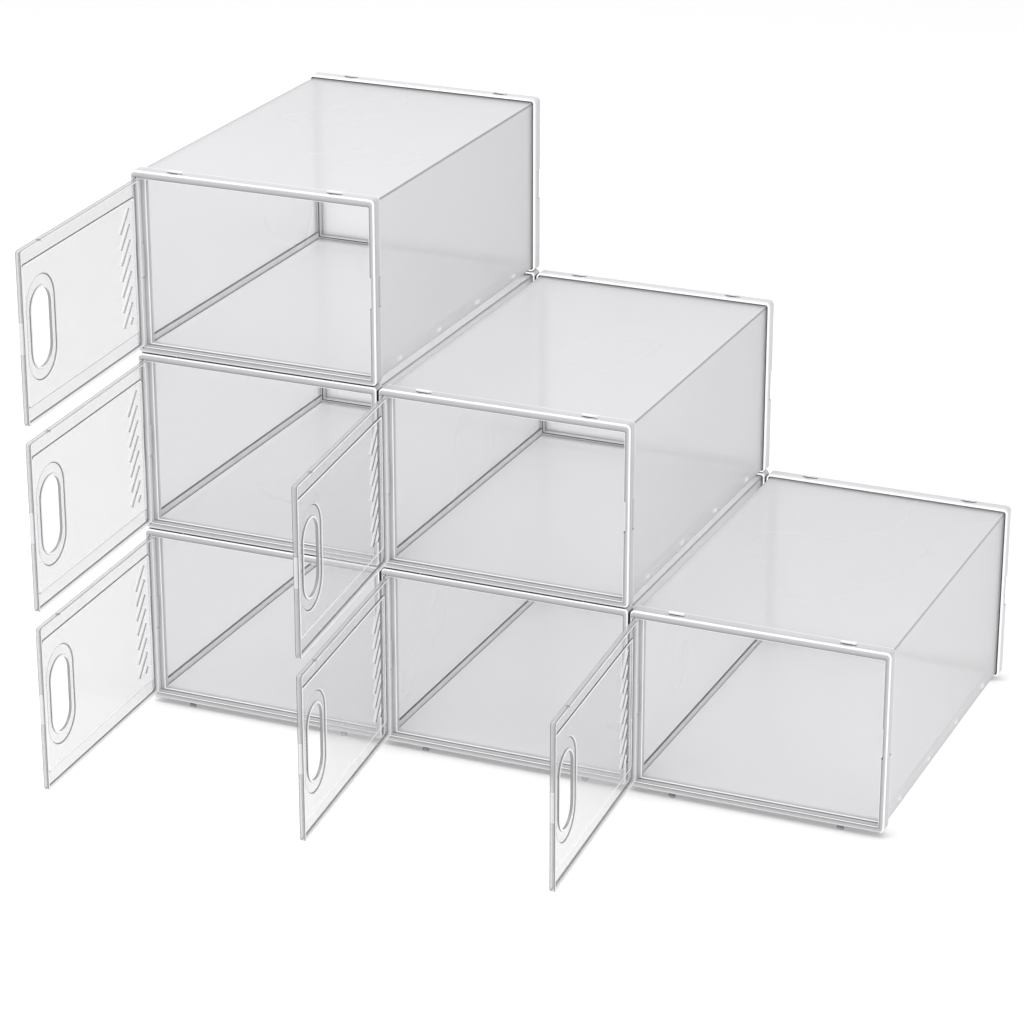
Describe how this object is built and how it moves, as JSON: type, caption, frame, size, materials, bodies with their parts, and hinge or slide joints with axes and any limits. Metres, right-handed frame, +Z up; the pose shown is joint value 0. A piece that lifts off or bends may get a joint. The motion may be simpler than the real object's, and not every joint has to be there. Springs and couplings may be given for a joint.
{
  "type": "shoe box",
  "caption": "Stepped stack of interlocking clear plastic shoe boxes, each a framed box with thin clear panels and a vented side-hinged front door with a finger slot.",
  "frame": {"origin": "centre of the stack's bounding box with the doors open, on the surface that the pegs stand on", "axes": "+X to the right as seen from the doors, +Y to the back of the boxes, +Z up"},
  "size_m": [0.7, 0.5798, 0.5068],
  "materials": {
    "frame": "clear moulded plastic, polished",
    "panel": "clear sheet plastic, faintly frosted",
    "tray": "clear sheet plastic, faintly frosted",
    "door": "clear moulded plastic, polished",
    "clip": "clear moulded plastic, polished"
  },
  "bodies": {
    "root": {"left_low_front_frame": "frame", "left_low_rear_frame": "frame", "left_low_roof_panel": "panel", "left_low_left_panel": "panel", "left_low_right_panel": "panel", "left_low_base_tray": "tray", "left_low_back_panel": "panel", "left_mid_front_frame": "frame", "left_mid_rear_frame": "frame", "left_mid_roof_panel": "panel", "left_mid_left_panel": "panel", "left_mid_right_panel": "panel", "left_mid_base_tray": "tray", "left_mid_back_panel": "panel", "left_top_front_frame": "frame", "left_top_rear_frame": "frame", "left_top_roof_panel": "panel", "left_top_left_panel": "panel", "left_top_right_panel": "panel", "left_top_base_tray": "tray", "left_top_back_panel": "panel", "centre_low_front_frame": "frame", "centre_low_rear_frame": "frame", "centre_low_roof_panel": "panel", "centre_low_left_panel": "panel", "centre_low_right_panel": "panel", "centre_low_base_tray": "tray", "centre_low_back_panel": "panel", "centre_low_front_clip": "clip", "centre_low_rear_clip": "clip", "centre_mid_front_frame": "frame", "centre_mid_rear_frame": "frame", "centre_mid_roof_panel": "panel", "centre_mid_left_panel": "panel", "centre_mid_right_panel": "panel", "centre_mid_base_tray": "tray", "centre_mid_back_panel": "panel", "centre_mid_front_clip": "clip", "centre_mid_rear_clip": "clip", "right_low_front_frame": "frame", "right_low_rear_frame": "frame", "right_low_roof_panel": "panel", "right_low_left_panel": "panel", "right_low_right_panel": "panel", "right_low_base_tray": "tray", "right_low_back_panel": "panel", "right_low_front_clip": "clip", "right_low_rear_clip": "clip"},
    "left_low_door": {"left_low_door": "door"},
    "left_mid_door": {"left_mid_door": "door"},
    "left_top_door": {"left_top_door": "door"},
    "centre_low_door": {"centre_low_door": "door"},
    "centre_mid_door": {"centre_mid_door": "door"},
    "right_low_door": {"right_low_door": "door"}
  },
  "joints": [
    {"name": "left_low_door_hinge", "type": "hinge", "parent": "root", "child": "left_low_door", "pos_m": [-0.3452, -0.06728, 0.08715], "axis": [0, 0, -1], "range_deg": [-87, 11]},
    {"name": "left_mid_door_hinge", "type": "hinge", "parent": "root", "child": "left_mid_door", "pos_m": [-0.3452, -0.06728, 0.25415], "axis": [0, 0, -1], "range_deg": [-87, 11]},
    {"name": "left_top_door_hinge", "type": "hinge", "parent": "root", "child": "left_top_door", "pos_m": [-0.3452, -0.06728, 0.42115], "axis": [0, 0, -1], "range_deg": [-87, 11]},
    {"name": "centre_low_door_hinge", "type": "hinge", "parent": "root", "child": "centre_low_door", "pos_m": [-0.1112, -0.06728, 0.08715], "axis": [0, 0, -1], "range_deg": [-84, 14]},
    {"name": "centre_mid_door_hinge", "type": "hinge", "parent": "root", "child": "centre_mid_door", "pos_m": [-0.1112, -0.06728, 0.25415], "axis": [0, 0, -1], "range_deg": [-84, 14]},
    {"name": "right_low_door_hinge", "type": "hinge", "parent": "root", "child": "right_low_door", "pos_m": [0.1228, -0.06728, 0.08715], "axis": [0, 0, -1], "range_deg": [-86, 12]}
  ]
}
